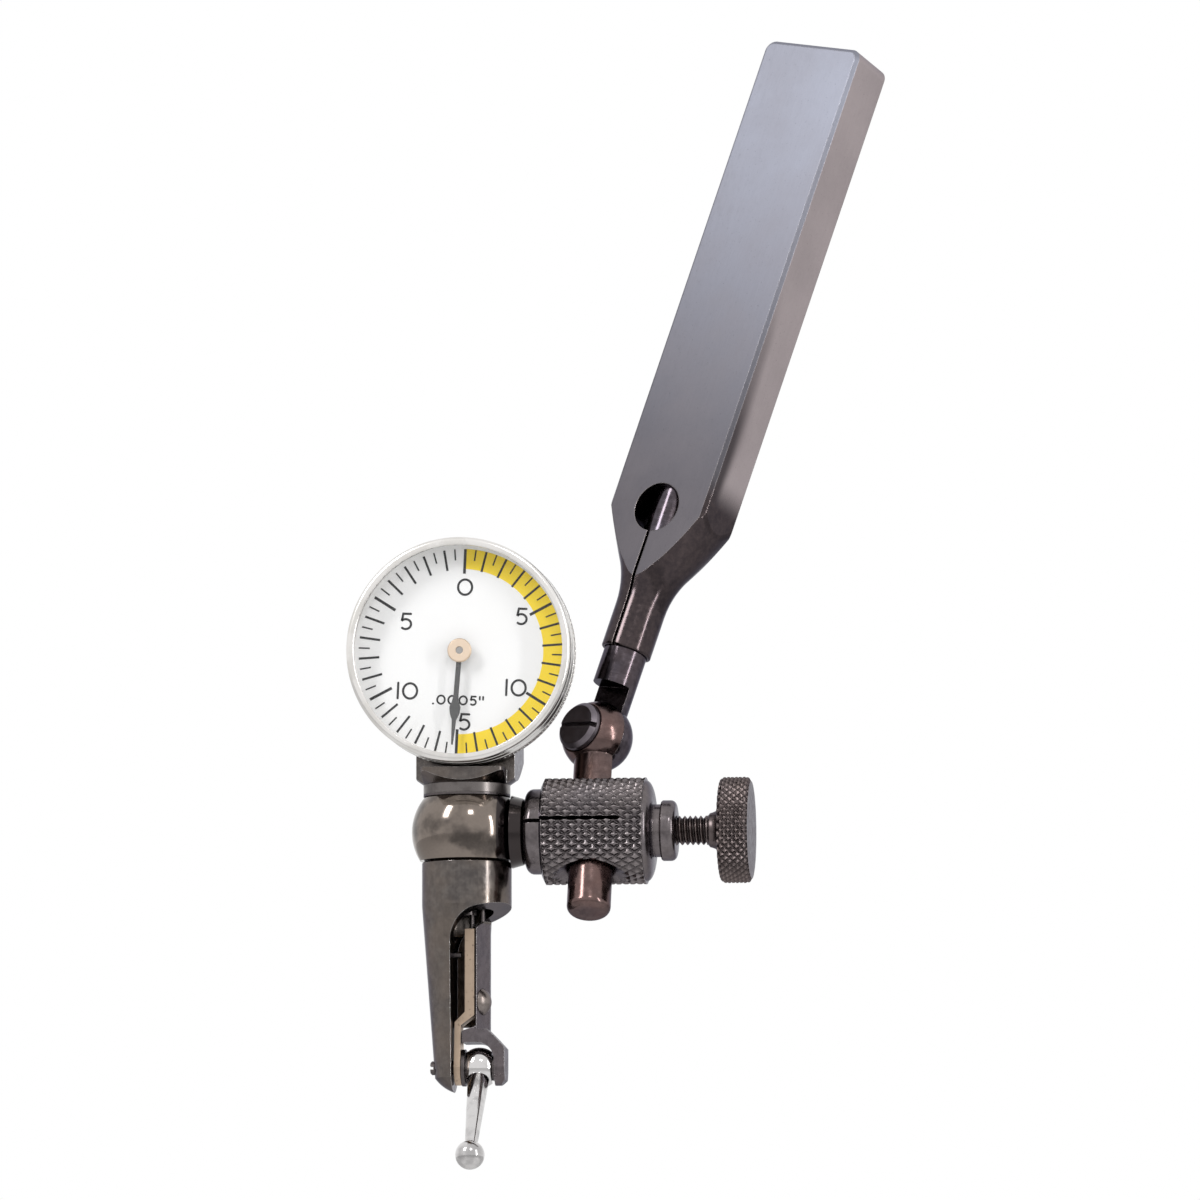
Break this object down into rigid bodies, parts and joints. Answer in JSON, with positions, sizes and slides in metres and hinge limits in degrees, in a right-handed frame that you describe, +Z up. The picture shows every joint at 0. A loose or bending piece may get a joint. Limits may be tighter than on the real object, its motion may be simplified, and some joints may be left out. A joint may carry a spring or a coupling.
{
  "type": "dial test indicator",
  "caption": "Lever dial test indicator with a round dial, swivelling contact, reversing lever, knurled swivel clamp and a rectangular shank on a ball hinge.",
  "frame": {"origin": "centre of the contact ball in its stored setting", "axes": "+Z runs up the indicator body and is the longest extent, the dial faces -Y, and the clamp with its thumb screw stands towards +X"},
  "size_m": [0.056, 0.0355, 0.1257],
  "materials": {
    "shank_steel": "satin blued steel with a slight oxide bloom",
    "stem_steel": "smooth dark blued steel",
    "rod_steel": "smooth steel worn to a brown",
    "clamp_steel": "knurled dark steel",
    "thumb_steel": "knurled dark steel, browned",
    "ball_steel": "polished steel",
    "body_steel": "satin dark bronze steel",
    "bezel_metal": "bright plated ring with a fine knurl",
    "case_metal": "plain drawn metal",
    "crystal_glass": "clear watch crystal",
    "card_enamel": "white printed card",
    "pointer_dark": "thin dark pointer",
    "hub_brass": "turned pale brass",
    "lever_brass": "blanked brass, matt",
    "bush_brass": "turned brass",
    "inner_steel": "plain bright steel",
    "contact_chrome": "hard chrome",
    "rocker_steel": "dark blued steel with lit edges",
    "stud_steel": "pale worn steel"
  },
  "bodies": {
    "shank": {"shank_bar": "shank_steel"},
    "stem": {"swivel_stem": "stem_steel", "hinge_screw": "rod_steel"},
    "rod": {"cross_rod": "rod_steel"},
    "clamp": {"clamp_barrel": "clamp_steel"},
    "pad": {"pressure_pad": "bush_brass"},
    "thumb": {"thumb_screw": "thumb_steel"},
    "ball": {"swivel_ball": "ball_steel"},
    "indicator": {"body_tube": "body_steel", "head_housing": "body_steel", "back_cover": "body_steel", "cover_screws": "inner_steel", "dial_case": "case_metal", "case_screws": "inner_steel", "bezel_spring": "inner_steel", "hairspring": "inner_steel", "hairspring_post": "inner_steel", "lower_bush": "bush_brass", "upper_bush": "bush_brass", "front_bush": "bush_brass", "rear_bush": "bush_brass", "pivot_screw": "stem_steel", "ear_washer": "stem_steel", "swivel_washer": "inner_steel", "neck_ring": "ball_steel", "reversing_wire": "inner_steel", "stop_peg": "inner_steel"},
    "bezel_ring": {"bezel": "bezel_metal", "crystal": "crystal_glass", "dial_card": "card_enamel"},
    "lever": {"lever_arm": "lever_brass", "contact_washer_ring": "stem_steel"},
    "contact": {"contact_point": "contact_chrome"},
    "crank": {"spindle": "inner_steel", "crown_sector": "bush_brass"},
    "hand": {"pointer": "pointer_dark", "pointer_hub": "hub_brass", "pointer_arbor": "inner_steel", "hairspring_collet": "bush_brass"},
    "rocker": {"reversing_lever": "rocker_steel", "finger_stud": "stud_steel"}
  },
  "joints": [
    {"name": "stem_spin", "type": "hinge", "parent": "shank", "child": "stem", "pos_m": [0.01225, 0.01341, 0.04615], "axis": [0.2929, 0.1858, 0.9379], "continuous": true},
    {"name": "hinge_tilt", "type": "hinge", "parent": "stem", "child": "rod", "pos_m": [0.01225, 0.01341, 0.04615], "axis": [0.5707, 0.753, -0.3274], "range_deg": [-72, 25]},
    {"name": "rod_spin", "type": "hinge", "parent": "rod", "child": "clamp", "pos_m": [0.01225, 0.00878, 0.03549], "axis": [0, -0.3987, -0.9171], "range_deg": [-110, 185]},
    {"name": "stud_spin", "type": "hinge", "parent": "clamp", "child": "ball", "pos_m": [-0.0014, 0.00878, 0.03549], "axis": [-1, 0, 0], "range_deg": [-306, 8]},
    {"name": "body_swivel", "type": "hinge", "parent": "ball", "child": "indicator", "pos_m": [-0.0014, 0.00878, 0.03549], "axis": [0, 0, 1], "range_deg": [-135, 15]},
    {"name": "bezel_turn", "type": "hinge", "parent": "indicator", "child": "bezel_ring", "pos_m": [-0.0014, 0.00878, 0.05459], "axis": [0, 1, 0], "continuous": true},
    {"name": "lever_swing", "type": "hinge", "parent": "indicator", "child": "lever", "pos_m": [-0.0014, 0.00878, 0.00999], "axis": [-1, 0, 0], "range_deg": [0, 3.1], "stiffness_Nm_per_rad": 0.02, "springref_deg": -5.73},
    {"name": "contact_set", "type": "hinge", "parent": "lever", "child": "contact", "pos_m": [-0.0014, 0.00878, 0.00999], "axis": [1, 0, 0], "range_deg": [-63, 146]},
    {"name": "spindle_turn", "type": "hinge", "parent": "indicator", "child": "crank", "pos_m": [-0.0014, 0.00878, 0.03549], "axis": [0, 0, 1], "range_deg": [0, 65.3]},
    {"name": "pointer_turn", "type": "hinge", "parent": "indicator", "child": "hand", "pos_m": [-0.0014, 0.00878, 0.05459], "axis": [0, 1, 0], "range_deg": [0, 358.55]},
    {"name": "rocker_tilt", "type": "hinge", "parent": "indicator", "child": "rocker", "pos_m": [-0.0014, 0.00878, 0.00999], "axis": [1, 0, 0], "range_deg": [-3, 3]},
    {"name": "pad_slide", "type": "slide", "parent": "clamp", "child": "pad", "axis": [1, 0, 0], "range_m": [0, 0.000587]},
    {"name": "thumb_turn", "type": "hinge", "parent": "pad", "child": "thumb", "pos_m": [-0.0014, 0.00878, 0.03549], "axis": [1, 0, 0], "range_deg": [0, 360]}
  ],
  "couplings": [
    {"joint": "spindle_turn", "follows": "lever_swing", "ratio": 21},
    {"joint": "pointer_turn", "follows": "lever_swing", "ratio": 115.5},
    {"joint": "pad_slide", "follows": "thumb_turn", "m_per_rad": 0.000091832}
  ]
}
